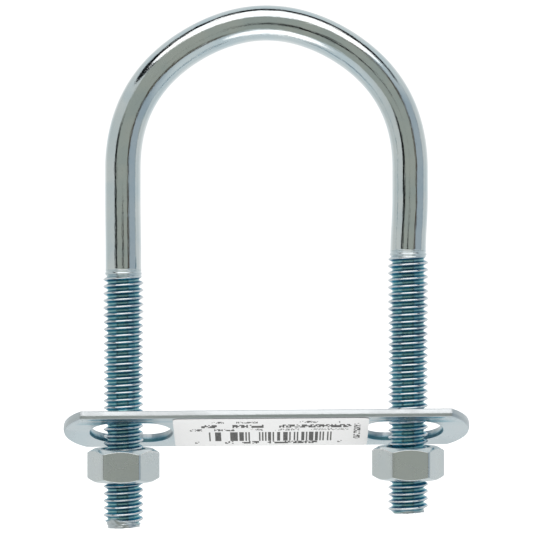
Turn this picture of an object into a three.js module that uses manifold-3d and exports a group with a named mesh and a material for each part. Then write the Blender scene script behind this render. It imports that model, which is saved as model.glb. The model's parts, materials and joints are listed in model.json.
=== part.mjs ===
// Zinc-plated U-bolt with a slotted strap plate, a paper label and two hexagon nuts.
// Millimetres. Origin at the centre of the bend, +X towards the right leg, +Z up the legs
// towards the bend, +Y along the axis of the pipe that the bend holds.
import * as THREE from "three";
import { mergeVertices } from "three/addons/utils/BufferGeometryUtils.js";
import Module from "manifold-3d";

const wasm = await Module();
wasm.setup();

// Bent rod, drawn to the pitch diameter of its thread. The bend is pressed in strokes, so its
// radius swells by BEND_WAVE at the top and 60 degrees to each side, and shrinks in between.
const BEND_RADIUS = 28.54;
const BEND_WAVE = 0.13;
const ROD_RADIUS = 3.5;
const TOE_IN = { start: 6.0, end: 17.0 };
const ROD_SIDES = 20;
const ROD_STEPS = 56;

// 5/16-18 UNC thread, right-hand
const PITCH = 25.4 / 18;
const MAJOR_RADIUS = 3.97;
const MINOR_RADIUS = 3.1;
const CREST_SHARE = 0.16;
const STEPS_PER_TURN = 12;
const COLLAR_RADIUS = 3.72;
const COLLAR_HEIGHT = 0.9;
const END_HEIGHT = 1.7;

// Each leg: where its thread stops, where the rod is cut off, and the height of one crest
// on its -X side, which sets the phase of the thread
const LEGS = {
  left: { x: -28.3, threadTop: -20.6, end: -71.2, crest: -22.08 },
  right: { x: 28.0, threadTop: -16.8, end: -68.3, crest: -22.25 },
};

// Hexagon nuts
const ACROSS_FLATS = 12.7;
const NUT_HEIGHT = 6.5;
const NUT_TOP = { left: -55.5, right: -55.05 };
const NUT_FACE_TURN = { left: -0.8, right: 1.3 };
const CHAMFER_CIRCLE = 5.9;
const CHAMFER_SLOPE = Math.tan(THREE.MathUtils.degToRad(30));
const COUNTERSINK_RADIUS = 4.3;
const THREAD_PLAY = 0.25;

// Strap plate
const PLATE_LENGTH = 80.3;
const PLATE_WIDTH = 15.9;
const PLATE_THICKNESS = 1.7;
const PLATE_END_SAGITTA = 3.9;
const SLOT_LENGTH = 16.0;
const SLOT_WIDTH = 9.8;
const SLOT_X = 26.7;
const PLATE_TILT = THREE.MathUtils.degToRad(25);
const PLATE_ROLL = Math.atan2(NUT_TOP.right - NUT_TOP.left, LEGS.right.x - LEGS.left.x);
const PLATE_GAP = 0.15;

// Paper label on the plate's lower face
const LABEL_LENGTH = 38.4;
const LABEL_WIDTH = 15.0;
const LABEL_X = 0.9;
const LABEL_THICKNESS = 0.12;
const LABEL_CORNER = 0.9;
const LABEL_GAP = 0.05;

const zinc = { color: 0xb9c3c8, roughness: 0.3, metalness: 1.0 };
const threadZinc = { color: 0x8fa7b3, roughness: 0.25, metalness: 1.0 };
const paper = { color: 0xededeb, roughness: 0.75, metalness: 0.0 };

// A closed three.js geometry as a solid that can be joined and cut
function solidOf(geometry) {
  const bare = geometry.clone();
  bare.deleteAttribute("normal");
  bare.deleteAttribute("uv");
  const welded = mergeVertices(bare, 1e-4);
  const vertProperties = new Float32Array(welded.attributes.position.array);
  const triVerts = new Uint32Array(welded.index.array);
  return new wasm.Manifold(new wasm.Mesh({ numProp: 3, vertProperties, triVerts }));
}

function geometryOf(solid) {
  const mesh = solid.getMesh();
  const geometry = new THREE.BufferGeometry();
  geometry.setAttribute("position", new THREE.BufferAttribute(mesh.vertProperties, 3));
  geometry.setIndex(new THREE.BufferAttribute(mesh.triVerts, 1));
  geometry.computeVertexNormals();
  return geometry;
}

// A solid of revolution about a vertical axis at x, from [radius, height] pairs
function turned(profile, x, segments = 24) {
  const points = profile.map(([radius, height]) => new THREE.Vector2(radius, height));
  const lathe = new THREE.LatheGeometry(points, segments);
  lathe.rotateX(Math.PI / 2);
  lathe.translate(x, 0, 0);
  return solidOf(lathe);
}

// Centre line of the rod: up the left leg, round the bend and down the right leg. Just below
// the bend each leg moves smoothly from the bend's foot to the leg's own distance.
class RodPath extends THREE.Curve {
  constructor(left, right) {
    super();
    this.left = left;
    this.right = right;
    this.bendLength = Math.PI * BEND_RADIUS;
    this.totalLength = this.bendLength - left.threadTop - right.threadTop;
  }

  getPoint(t, target = new THREE.Vector3()) {
    const past = t * this.totalLength + this.left.threadTop;
    if (past < 0) {
      return target.set(RodPath.legDistance(-past, this.left.x), 0, past);
    }
    if (past <= this.bendLength) {
      const angle = Math.PI - past / BEND_RADIUS;
      const radius = BEND_RADIUS - BEND_WAVE * Math.cos(6 * angle);
      return target.set(radius * Math.cos(angle), 0, radius * Math.sin(angle));
    }
    const drop = past - this.bendLength;
    return target.set(RodPath.legDistance(drop, this.right.x), 0, -drop);
  }

  static legDistance(drop, legX) {
    const foot = Math.sign(legX) * (BEND_RADIUS - BEND_WAVE);
    return foot + (legX - foot) * THREE.MathUtils.smoothstep(drop, TOE_IN.start, TOE_IN.end);
  }
}

function rodSolid() {
  const section = new THREE.Shape();
  section.absarc(0, 0, ROD_RADIUS, 0, 2 * Math.PI);
  const path = new RodPath(LEGS.left, LEGS.right);
  const settings = { steps: ROD_STEPS, curveSegments: ROD_SIDES / 2, extrudePath: path };
  return solidOf(new THREE.ExtrudeGeometry(section, settings));
}

// A screw thread as one closed skin. The skin is a ribbon that climbs one pitch per turn; its
// four corners per pitch are the two edges of the crest and the two edges of the root, and the
// upper edge of each turn joins the lower edge of the next. A fan closes each end. play grows
// the whole profile outwards, for the thread inside a nut.
function threadSolid(leg, bottom, top, play) {
  const half = CREST_SHARE / 2;
  const profile = [
    [MAJOR_RADIUS + play, -half],
    [MAJOR_RADIUS + play, half],
    [MINOR_RADIUS + play, 0.5 - half],
    [MINOR_RADIUS + play, 0.5 + half],
  ];
  const corners = profile.length;
  const first = Math.floor(((bottom - leg.crest) / PITCH - 0.5) * STEPS_PER_TURN);
  const last = Math.ceil(((top - leg.crest) / PITCH + 0.5) * STEPS_PER_TURN);
  const steps = last - first;
  const positions = [];
  for (let i = 0; i <= steps; i += 1) {
    const turns = (first + i) / STEPS_PER_TURN;
    const angle = Math.PI + 2 * Math.PI * turns;
    for (const [radius, rise] of profile) {
      const height = leg.crest + PITCH * (turns + rise);
      positions.push(leg.x + radius * Math.cos(angle), radius * Math.sin(angle), height);
    }
  }
  const lowCentre = positions.length / 3;
  positions.push(leg.x, 0, leg.crest + PITCH * (first / STEPS_PER_TURN + 0.5));
  const highCentre = lowCentre + 1;
  positions.push(leg.x, 0, leg.crest + PITCH * (last / STEPS_PER_TURN));

  // Corner 4 of one turn is corner 0 of the next
  const at = (i, k) => (k < corners ? i * corners + k : (i + STEPS_PER_TURN) * corners);
  const faces = [];
  for (let i = 0; i < steps; i += 1) {
    const strips = i + STEPS_PER_TURN < steps ? corners : corners - 1;
    for (let k = 0; k < strips; k += 1) {
      faces.push(at(i, k), at(i + 1, k), at(i + 1, k + 1));
      faces.push(at(i, k), at(i + 1, k + 1), at(i, k + 1));
    }
  }
  const lastTurn = steps - STEPS_PER_TURN;
  for (let i = 0; i < STEPS_PER_TURN; i += 1) {
    faces.push(at(i + 1, 0), at(i, 0), lowCentre);
    faces.push(at(lastTurn + i, corners - 1), at(lastTurn + i + 1, corners - 1), highCentre);
  }
  for (let k = 0; k < corners; k += 1) {
    faces.push(at(0, k), at(0, k + 1), lowCentre);
  }
  for (let k = corners - 1; k > 0; k -= 1) {
    faces.push(at(steps, k), at(steps, k - 1), highCentre);
  }
  faces.push(at(steps, 0), at(lastTurn, corners - 1), highCentre);

  const geometry = new THREE.BufferGeometry();
  geometry.setAttribute("position", new THREE.Float32BufferAttribute(positions, 3));
  geometry.setIndex(faces);
  return solidOf(geometry);
}

// The thread of one leg: a chamfered collar where it runs out into the rod, and a sheared end
// where the last crest is flattened almost to the root
function legThread(leg) {
  const outside = MAJOR_RADIUS + 0.1;
  const space = turned([
    [0, leg.end],
    [MINOR_RADIUS, leg.end],
    [MINOR_RADIUS + 0.25, leg.end + END_HEIGHT - 0.5],
    [outside, leg.end + END_HEIGHT],
    [outside, leg.threadTop - 0.4],
    [ROD_RADIUS, leg.threadTop + 0.4],
    [0, leg.threadTop + 0.4],
  ], leg.x);
  const collar = turned([
    [0, leg.threadTop - COLLAR_HEIGHT / 2],
    [ROD_RADIUS, leg.threadTop - COLLAR_HEIGHT / 2],
    [COLLAR_RADIUS, leg.threadTop - 0.1],
    [COLLAR_RADIUS, leg.threadTop + 0.1],
    [ROD_RADIUS - 0.1, leg.threadTop + COLLAR_HEIGHT / 2],
    [0, leg.threadTop + COLLAR_HEIGHT / 2],
  ], leg.x);
  const thread = threadSolid(leg, leg.end - PITCH, leg.threadTop + PITCH, 0);
  return thread.intersect(space).add(collar);
}

function uBolt() {
  return geometryOf(rodSolid().add(legThread(LEGS.left)).add(legThread(LEGS.right)));
}

// A nut at its place on its leg: a hexagon prism, chamfered at 30 degrees at both ends, with a
// countersunk threaded hole in phase with the leg's thread
function nut(side) {
  const leg = LEGS[side];
  const top = NUT_TOP[side];
  const bottom = top - NUT_HEIGHT;
  const cornerRadius = ACROSS_FLATS / 2 / Math.cos(Math.PI / 6);
  const hexagon = new THREE.CylinderGeometry(cornerRadius, cornerRadius, NUT_HEIGHT, 6);
  hexagon.rotateX(Math.PI / 2);
  hexagon.rotateZ(Math.PI / 6 + THREE.MathUtils.degToRad(NUT_FACE_TURN[side]));
  hexagon.translate(leg.x, 0, (top + bottom) / 2);
  const reach = cornerRadius + 0.5;
  const drop = (reach - CHAMFER_CIRCLE) * CHAMFER_SLOPE;
  const chamfers = turned([
    [0, bottom],
    [CHAMFER_CIRCLE, bottom],
    [reach, bottom + drop],
    [reach, top - drop],
    [CHAMFER_CIRCLE, top],
    [0, top],
  ], leg.x, 60);
  const sink = COUNTERSINK_RADIUS - MINOR_RADIUS;
  const countersink = (face, inwards) => {
    const ends = [
      [0, face + inwards * sink],
      [MINOR_RADIUS, face + inwards * sink],
      [COUNTERSINK_RADIUS + 0.3, face - inwards * 0.3],
      [0, face - inwards * 0.3],
    ];
    return turned(inwards > 0 ? ends.reverse() : ends, leg.x);
  };
  const hole = threadSolid(leg, bottom - PITCH, top + PITCH, THREAD_PLAY);
  return geometryOf(
    solidOf(hexagon)
      .intersect(chamfers)
      .subtract(hole)
      .subtract(countersink(top, -1))
      .subtract(countersink(bottom, 1))
  );
}

// The plate lies in its own frame: x along it, y across it, z from its lower face upwards
function plate() {
  const chord = PLATE_WIDTH / 2;
  const endRadius = (chord ** 2 + PLATE_END_SAGITTA ** 2) / (2 * PLATE_END_SAGITTA);
  const endCentre = PLATE_LENGTH / 2 - endRadius;
  const endAngle = Math.asin(chord / endRadius);
  const outline = new THREE.Shape();
  outline.absarc(endCentre, 0, endRadius, -endAngle, endAngle);
  outline.absarc(-endCentre, 0, endRadius, Math.PI - endAngle, Math.PI + endAngle);
  outline.closePath();
  for (const side of [-1, 1]) {
    const reach = (SLOT_LENGTH - SLOT_WIDTH) / 2;
    const slot = new THREE.Path();
    slot.absarc(side * SLOT_X + reach, 0, SLOT_WIDTH / 2, -Math.PI / 2, Math.PI / 2);
    slot.absarc(side * SLOT_X - reach, 0, SLOT_WIDTH / 2, Math.PI / 2, 1.5 * Math.PI);
    slot.closePath();
    outline.holes.push(slot);
  }
  const settings = { depth: PLATE_THICKNESS, bevelEnabled: false, curveSegments: 9 };
  return new THREE.ExtrudeGeometry(outline, settings);
}

function label() {
  const x = LABEL_LENGTH / 2 - LABEL_CORNER;
  const y = LABEL_WIDTH / 2 - LABEL_CORNER;
  const outline = new THREE.Shape();
  outline.absarc(x, y, LABEL_CORNER, 0, Math.PI / 2);
  outline.absarc(-x, y, LABEL_CORNER, Math.PI / 2, Math.PI);
  outline.absarc(-x, -y, LABEL_CORNER, Math.PI, 1.5 * Math.PI);
  outline.absarc(x, -y, LABEL_CORNER, 1.5 * Math.PI, 2 * Math.PI);
  outline.closePath();
  const settings = { depth: LABEL_THICKNESS, bevelEnabled: false, curveSegments: 3 };
  return new THREE.ExtrudeGeometry(outline, settings);
}

function piece(name, geometry, finish) {
  const mesh = new THREE.Mesh(geometry, new THREE.MeshStandardMaterial(finish));
  mesh.name = name;
  return mesh;
}

// The plate and its label lean on the rear top edges of the nuts, with the front edge raised.
// Across the lean the slots are set so that the legs pass through the middle of the gap.
function leaningPlate() {
  const frame = new THREE.Group();
  const restHeight = (NUT_TOP.left + NUT_TOP.right) / 2 + CHAMFER_CIRCLE * Math.tan(PLATE_TILT);
  frame.rotation.set(-PLATE_TILT, -PLATE_ROLL, 0, "YXZ");
  frame.position.set(0, 0, restHeight + PLATE_GAP);
  const shift = (-PLATE_THICKNESS * Math.tan(PLATE_TILT)) / 2;
  const plateMesh = piece("plate", plate(), zinc);
  plateMesh.position.set(0, shift, 0);
  const labelMesh = piece("label", label(), paper);
  labelMesh.position.set(LABEL_X, shift, -LABEL_GAP - LABEL_THICKNESS);
  frame.add(plateMesh, labelMesh);
  return frame;
}

const group = new THREE.Group();
group.name = "u_bolt_assembly";
group.add(piece("u_bolt", uBolt(), threadZinc));
group.add(leaningPlate());
group.add(piece("left_nut", nut("left"), zinc));
group.add(piece("right_nut", nut("right"), zinc));

export default group;
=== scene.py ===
import json
import math

import bmesh
import bpy
import numpy as np
from bpy.props import FloatProperty, FloatVectorProperty, IntProperty, PointerProperty
from mathutils.geometry import tessellate_polygon
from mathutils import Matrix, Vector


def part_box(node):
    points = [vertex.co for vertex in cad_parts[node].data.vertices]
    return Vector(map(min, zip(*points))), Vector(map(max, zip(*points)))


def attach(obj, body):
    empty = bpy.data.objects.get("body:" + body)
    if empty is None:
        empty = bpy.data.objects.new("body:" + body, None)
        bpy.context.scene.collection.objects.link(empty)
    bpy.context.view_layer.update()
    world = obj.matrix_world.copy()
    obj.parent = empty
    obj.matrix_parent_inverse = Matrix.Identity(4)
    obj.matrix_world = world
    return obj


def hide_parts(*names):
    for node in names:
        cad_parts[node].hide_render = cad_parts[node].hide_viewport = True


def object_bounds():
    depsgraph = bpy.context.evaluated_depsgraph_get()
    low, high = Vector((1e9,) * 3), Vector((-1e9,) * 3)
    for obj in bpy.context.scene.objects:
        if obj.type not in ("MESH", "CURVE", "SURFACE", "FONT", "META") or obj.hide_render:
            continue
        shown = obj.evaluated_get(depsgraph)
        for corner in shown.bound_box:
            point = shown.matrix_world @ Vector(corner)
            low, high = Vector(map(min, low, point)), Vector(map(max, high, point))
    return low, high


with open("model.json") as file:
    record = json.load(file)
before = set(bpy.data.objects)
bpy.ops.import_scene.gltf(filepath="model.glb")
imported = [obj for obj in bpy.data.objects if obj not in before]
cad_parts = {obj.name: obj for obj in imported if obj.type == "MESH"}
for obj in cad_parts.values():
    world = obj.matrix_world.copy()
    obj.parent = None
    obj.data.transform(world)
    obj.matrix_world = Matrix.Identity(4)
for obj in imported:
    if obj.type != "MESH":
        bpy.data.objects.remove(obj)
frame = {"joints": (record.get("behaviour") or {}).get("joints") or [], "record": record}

CAD_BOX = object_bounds()

bl_info = {
    "name": "Zinc-plated U-bolt",
    "version": (1, 0, 0),
    "blender": (4, 5, 0),
    "location": "View3D > Sidebar > U-bolt",
    "description": "U-bolt with rolled threads, punched strap plate, paper label and two nuts",
    "category": "Add Mesh",
}

# The pieces are worked out in millimetres and turned to metres as they become meshes. The stage
# is in metres.
MM = 0.001
# Points closer than this fall together, and edges shorter than the second are taken out.
MERGE_GAP = 2e-7
SHORTEST_EDGE = 1e-8
RECORD = frame["record"]
MOUNTS = {mount["name"]: mount for mount in RECORD["mounts"]}
JOINTS = {joint["name"]: joint for joint in frame["joints"]}
TURNS_PER_METRE = RECORD["behaviour"]["couplings"][0]["ratio"]
PITCH = 2 * math.pi / TURNS_PER_METRE / MM
# Rows of one pitch of thread, as distances from the crest: close at the crest and at the root.
THREAD_ROWS = np.array([
    0.0, 0.03, 0.06, 0.09, 0.12, 0.15, 0.18, 0.23, 0.29, 0.34, 0.38, 0.44, 0.5,
    0.57, 0.63, 0.69, 0.76, 0.84, 0.91, 0.95, 0.98,
])
THREAD_SAMPLES = len(THREAD_ROWS)
SIDES = ("left", "right")
# Where a thread runs out, a broad ring, a shallow neck and a fine ring follow each other: height
# over the run-out, width, and share of the collar's rise.
COLLAR_RINGS = ((-0.28, 0.22, 1.0), (0.10, 0.15, -0.8), (0.33, 0.09, 0.5))
# How far the plain rod reaches into the skins of the threads.
ROD_OVERLAP = 0.42


def box_mm(node):
    """The lowest and highest corners of a CAD node, in millimetres."""
    low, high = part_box(node)
    return np.array(low) / MM, np.array(high) / MM


def place_mm(name):
    """Where a mount is, in millimetres."""
    return np.array(MOUNTS[name]["pos_m"]) / MM


BOLT_HIGH = box_mm("u_bolt")[1]
MAJOR_RADIUS = float(BOLT_HIGH[1])
LEG_X = {side: JOINTS[side + "_nut_turn"]["pos_m"][0] / MM for side in SIDES}
LEG_END = {side: float(place_mm(side + "_leg_end")[2]) for side in SIDES}
PLATE_NORMAL = np.array(MOUNTS["plate_upper_face"]["axis"])


# ---------------------------------------------------------------------------
# Sizes and colours that a user would change
# ---------------------------------------------------------------------------

def length(name, description, default):
    """A size in millimetres."""
    return FloatProperty(name=name, description=description, default=default, min=0.0)


def height(name, description, default):
    """A height on the Z axis in millimetres, which may be below zero."""
    return FloatProperty(name=name, description=description, default=default)


def colour(name, description, default):
    return FloatVectorProperty(
        name=name, description=description, default=default, size=3,
        min=0.0, max=1.0, subtype="COLOR",
    )


class UBoltRodSettings(bpy.types.PropertyGroup):
    rod_radius: length("Rod radius", "Radius of the plain rod above the threads", 3.5)
    bend_wave: length("Bend wave", "How far the bend swells where it was pressed", 0.13)
    toe_start: length("Toe-in start", "How far below the bend the legs begin to close in", 6.0)
    toe_end: length("Toe-in end", "How far below the bend the legs run straight again", 17.0)
    minor_radius: length("Root radius", "Radius at the bottom of the thread", 3.1)
    collar: length("Collar radius", "Radius of the ring where the thread runs out", 3.64)
    left_top: height("Left thread top", "Where the left thread runs out", -20.6)
    right_top: height("Right thread top", "Where the right thread runs out", -16.8)
    left_crest: height("Left crest", "Height of a crest on the outer side of the left leg", -22.08)
    right_crest: height(
        "Right crest", "Height of a crest on the inner side of the right leg", -22.25,
    )
    thread_sides: IntProperty(name="Thread sides", description="Sides per turn", default=72, min=24)


class UBoltNutSettings(bpy.types.PropertyGroup):
    across_flats: length("Across flats", "Width of a nut over two faces", 12.66)
    chamfer_circle: length("Chamfer circle", "Radius of the flat ring at each end of a nut", 5.85)
    countersink: length("Countersink", "Radius of the mouth of a nut's hole", 4.4)
    thread_play: length("Thread play", "Gap between a nut's thread and the rod's", 0.12)
    left_turn: height("Left turn", "Turn of the left nut's front face, in degrees", -0.8)
    right_turn: height("Right turn", "Turn of the right nut's front face, in degrees", 1.3)


class UBoltPlateSettings(bpy.types.PropertyGroup):
    length: length("Length", "Length of the strap plate", 80.26)
    width: length("Width", "Width of the strap plate", 15.86)
    thickness: length("Thickness", "Thickness of the strap plate", 1.7)
    sagitta: length("End bulge", "How far the curved ends bulge", 3.88)
    slot_length: length("Slot length", "Length of each slot", 16.0)
    slot_width: length("Slot width", "Width of each slot", 9.8)
    slot_x: length("Slot place", "Distance of each slot from the middle", 26.7)
    roll_over: length("Roll-over", "Rounding of the upper edge, which the punch drew in", 0.30)
    slot_roll: length("Slot roll-over", "Rounding of the upper edge of the slots", 0.12)


class UBoltLabelSettings(bpy.types.PropertyGroup):
    length: length("Length", "Length of the paper label", 38.34)
    width: length("Width", "Width of the paper label", 14.94)
    place: height("Place", "Middle of the label along the plate", 0.9)
    corner: length("Corner", "Corner radius of the label", 0.9)
    paper: colour("Paper", "Colour of the paper", (0.74, 0.74, 0.735))
    ink: colour("Ink", "Colour of the print", (0.045, 0.042, 0.038))


class UBoltFinishSettings(bpy.types.PropertyGroup):
    bright: colour("Bright zinc", "Fresh zinc plate", (0.90, 0.915, 0.91))
    clear: colour("Clear passivate", "Faintly blue zinc plate", (0.80, 0.86, 0.885))
    blue: colour("Blue passivate", "Blue film on the flanks of the thread", (0.08, 0.42, 0.56))
    groove: colour("Deep blue", "Where the film on the flanks is thickest", (0.01, 0.17, 0.30))
    # painted highlight: this pale colour at the bottom of the thread stands in for the light that
    # the root reflects
    root: colour("Root", "Pale film at the bottom of the thread", (0.36, 0.60, 0.62))
    crest: colour("Crest", "Rubbed crest of the thread", (0.85, 0.86, 0.89))
    satin: colour("Satin zinc", "Zinc on the nuts and the plate", (0.88, 0.90, 0.91))
    cut: colour("Cut edge", "Torn metal on a sheared face", (0.74, 0.77, 0.79))


class UBoltStageSettings(bpy.types.PropertyGroup):
    distance: FloatProperty(
        name="Camera distance", description="From the plane of the rod", default=0.45,
        min=0.1, unit="LENGTH", subtype="DISTANCE",
    )
    lens: FloatProperty(name="Lens", description="Focal length in millimetres", default=153.66)
    camera_height: FloatProperty(
        name="Camera height", description="Height of the camera over the bend's centre",
        default=-0.0195, unit="LENGTH", subtype="DISTANCE",
    )
    camera_size: FloatProperty(
        name="Camera size", description="Half the width of the dark front that the rod mirrors",
        default=0.034, unit="LENGTH", subtype="DISTANCE",
    )
    floor_drop: FloatProperty(
        name="Floor drop", description="Gap between the longer leg and the floor",
        default=0.012, unit="LENGTH", subtype="DISTANCE",
    )


# ---------------------------------------------------------------------------
# Surfaces
# ---------------------------------------------------------------------------

def smooth(low, high, value):
    """0 below low, 1 above high and a cubic ramp between them."""
    t = np.clip((value - low) / (high - low), 0.0, 1.0)
    return t * t * (3 - 2 * t)


def ripple(*terms):
    """A quiet, repeatable unevenness: the mean of sines of the given angles."""
    return sum(np.sin(term) for term in terms) / len(terms)


def new_object(name, data):
    """An object in the scene's own collection, at the origin."""
    thing = bpy.data.objects.new(name, data)
    bpy.context.scene.collection.objects.link(thing)
    return thing


def add_piece(name, points, quads, body, node, material, values=None, uv=None, sharp=None):
    """One mesh object from points in millimetres and index quads. Points that fall together are
    merged, which closes every pole, and the faces that collapse there go with them."""
    mesh = bpy.data.meshes.new(name)
    mesh.from_pydata((points * MM).tolist(), [], quads.tolist())
    for key, value in (values or {}).items():
        layer = mesh.attributes.new(key, "FLOAT", "POINT")
        layer.data.foreach_set("value", np.ascontiguousarray(value, np.float32).ravel())
    if uv is not None:
        layer = mesh.uv_layers.new(name="UVMap")
        layer.data.foreach_set("uv", uv.astype(np.float32).ravel())
    shell = bmesh.new()
    shell.from_mesh(mesh)
    bmesh.ops.remove_doubles(shell, verts=shell.verts, dist=MERGE_GAP)
    bmesh.ops.dissolve_degenerate(shell, edges=shell.edges, dist=SHORTEST_EDGE)
    shell.to_mesh(mesh)
    shell.free()
    mesh.polygons.foreach_set("use_smooth", np.ones(len(mesh.polygons), bool))
    if sharp is not None:
        mesh.set_sharp_from_angle(angle=math.radians(sharp))
    mesh.materials.append(material)
    piece = new_object(name, mesh)
    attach(piece, body)
    if node:
        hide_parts(node)
    return piece


def grid_quads(rows, columns, wrap_rows=False, wrap_columns=True, column_shift=0):
    """Index quads of a rows x columns grid. A wrapped grid joins its last column to its first,
    column_shift rows further up, as the skin of a screw thread does."""
    row = np.arange(rows if wrap_rows else rows - 1 - column_shift)
    column = np.arange(columns if wrap_columns else columns - 1)
    r, c = np.meshgrid(row, column, indexing="ij")
    step = np.where(c + 1 == columns, column_shift, 0)
    right = (c + 1) % columns
    up = (r + 1) % rows if wrap_rows else r + 1
    quads = np.stack([
        r * columns + c,
        (r + step) * columns + right,
        (up + step) * columns + right,
        up * columns + c,
    ], axis=-1)
    return quads.reshape(-1, 4)


def grid_uv(quads, u, v):
    """Per-corner UVs for a grid whose columns wrap: a corner that has wrapped keeps counting up."""
    corner_u = u.ravel()[quads].copy()
    corner_v = v.ravel()[quads]
    span = corner_u.max() - corner_u.min()
    far = corner_u[:, :1] - corner_u > 0.5 * span
    corner_u[far] += span * (1 + 1.0 / u.shape[1])
    return np.stack([corner_u, corner_v], axis=-1).reshape(-1, 2)


def thread_height(phase):
    """How high the rolled thread stands over its root, 0 to 1: a narrow crest whose upper shoulder
    falls gently for a seventh of a pitch, straight flanks and a root a quarter of a pitch wide,
    with both corners eased by a soft step. phase counts pitches upwards from a crest."""
    root_edge, upper_shoulder, lower_shoulder = 0.375, 0.15, 0.05
    fall, fall_width, soft = 0.17, 0.16, 0.06
    signed = phase - np.round(phase)
    crest = np.where(signed > 0, upper_shoulder, lower_shoulder)
    flank = (root_edge - np.abs(signed)) / (root_edge - crest)
    risen = soft * np.logaddexp(0.0, flank / soft)
    height_share = 1.0 - soft * np.logaddexp(0.0, (1.0 - risen) / soft)
    return height_share * (1.0 - fall * np.clip(signed / fall_width, 0.0, 1.0))


def leg_thread(side, settings):
    """The rolled thread of one leg. Row j and column c stand at turn c / sides, at the height
    low + pitch * (phase of row j + turn), where THREAD_ROWS spaces the phases of each pitch. So
    the rows follow the helix, and the last column joins the first one pitch further up. The
    radius is root + depth * thread_height, eased into the collar at the top and pressed down
    towards the sheared end."""
    sides = settings.thread_sides
    end = LEG_END[side]
    top = getattr(settings, side + "_top")
    crest = getattr(settings, side + "_crest")
    low = crest - PITCH * math.ceil((crest - end) / PITCH + 3.0)
    rows = int(THREAD_SAMPLES * math.ceil((top - low) / PITCH + 3.0))
    j, c = np.meshgrid(np.arange(rows), np.arange(sides), indexing="ij")
    turn = c / sides
    angle = math.pi + 2 * math.pi * turn
    phase = j // THREAD_SAMPLES + THREAD_ROWS[j % THREAD_SAMPLES]
    z = low + PITCH * (phase + turn)
    crown = thread_height(phase)
    depth = MAJOR_RADIUS - 0.01 - settings.minor_radius

    # run-out: the groove fills up to the rod, whose rings are bell curves over the height
    running = smooth(top - 0.35, top - 1.5, z)
    rings = sum(
        share * np.exp(-(((z - top - rise) / width) ** 2)) for rise, width, share in COLLAR_RINGS
    )
    run_out = settings.rod_radius - 0.12 * smooth(top - 0.3, top - 0.8, z)
    run_out = run_out + (settings.collar - settings.rod_radius) * rings
    radius = settings.minor_radius + depth * crown
    radius = run_out + (radius - run_out) * running

    # sheared end: the last crest is torn down by an uneven amount, most on one side
    if side == "left":
        bite = 1.15 + 0.75 * np.cos(angle - 4.2) + 0.25 * ripple(3 * angle + 1.0, 5 * angle)
    else:
        bite = 0.75 + 0.35 * np.cos(angle - 0.6) + 0.20 * ripple(3 * angle, 4 * angle + 2.0)
    pressed = smooth(end + bite - 0.25, end + bite + 0.25, z)
    torn = ripple(3 * angle + 2.0 * z, 7 * angle - 3.1 * z + 2.0, 13 * angle + 5.0 * z)
    stub = settings.minor_radius + 0.12 + 0.16 * torn
    stub = stub - 0.25 * smooth(end + 0.35, end - 0.05, z)
    radius = np.minimum(radius, stub + (MAJOR_RADIUS - stub) * pressed)

    # below the slanting cut the skin turns in across the end face; above the run-out it dives
    # into the rod
    cut = end + 0.14 * (1 - np.cos(angle - math.pi)) + 0.05 * (1 + ripple(5 * angle, 8 * angle))
    below = np.clip((cut - z) / (1.2 * PITCH), 0.0, 1.0)
    above = np.clip((z - top - 0.45) / (0.9 * PITCH), 0.0, 1.0)
    radius = radius * (1 - below) * (1 - above)
    burr = 0.12 * np.abs(ripple(2 * angle + radius, 5 * angle - 2 * radius)) * radius / 3
    middle = end + 0.19
    z = np.where(z < cut, middle + (cut + burr - middle) * (1 - below), z)
    z = np.where(above > 0, top + 0.45 + 0.5 * above, z)

    x = LEG_X[side] + radius * np.cos(angle)
    points = np.stack([x, radius * np.sin(angle), z], axis=-1).reshape(-1, 3)
    quads = grid_quads(rows, sides, column_shift=THREAD_SAMPLES)
    rubbed = np.maximum(1 - pressed, smooth(0.0, 0.6, below))
    return points, quads, {"crest": crown, "threaded": running, "rubbed": rubbed}


def rod_path(settings):
    """The centre line of the plain rod as points, tangents and distances. Down each leg the
    distance from the middle eases from the bend's foot to the leg's own; round the bend the
    radius is the mean radius - wave * cos(6 * angle), which swells at the top and at 60 degrees
    to each side."""
    wave = settings.bend_wave
    bend = float(BOLT_HIGH[2]) - settings.rod_radius - wave
    left = -settings.left_top - ROD_OVERLAP
    right = -settings.right_top - ROD_OVERLAP
    along = np.linspace(0.0, left + math.pi * bend + right, 360)
    past = along - left
    drop = np.clip(-past, 0.0, None) + np.clip(past - math.pi * bend, 0.0, None)
    angle = math.pi - np.clip(past / bend, 0.0, math.pi)
    leg = np.where(angle > math.pi / 2, abs(LEG_X["left"]), abs(LEG_X["right"]))
    foot = bend - wave
    reach = np.where(
        drop > 0, foot + (leg - foot) * smooth(settings.toe_start, settings.toe_end, drop),
        bend - wave * np.cos(6 * angle),
    )
    points = np.stack([reach * np.cos(angle), 0 * along, reach * np.sin(angle) - drop], axis=-1)
    tangents = np.gradient(points, axis=0)
    tangents /= np.linalg.norm(tangents, axis=1, keepdims=True)
    return points, tangents, along


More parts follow.
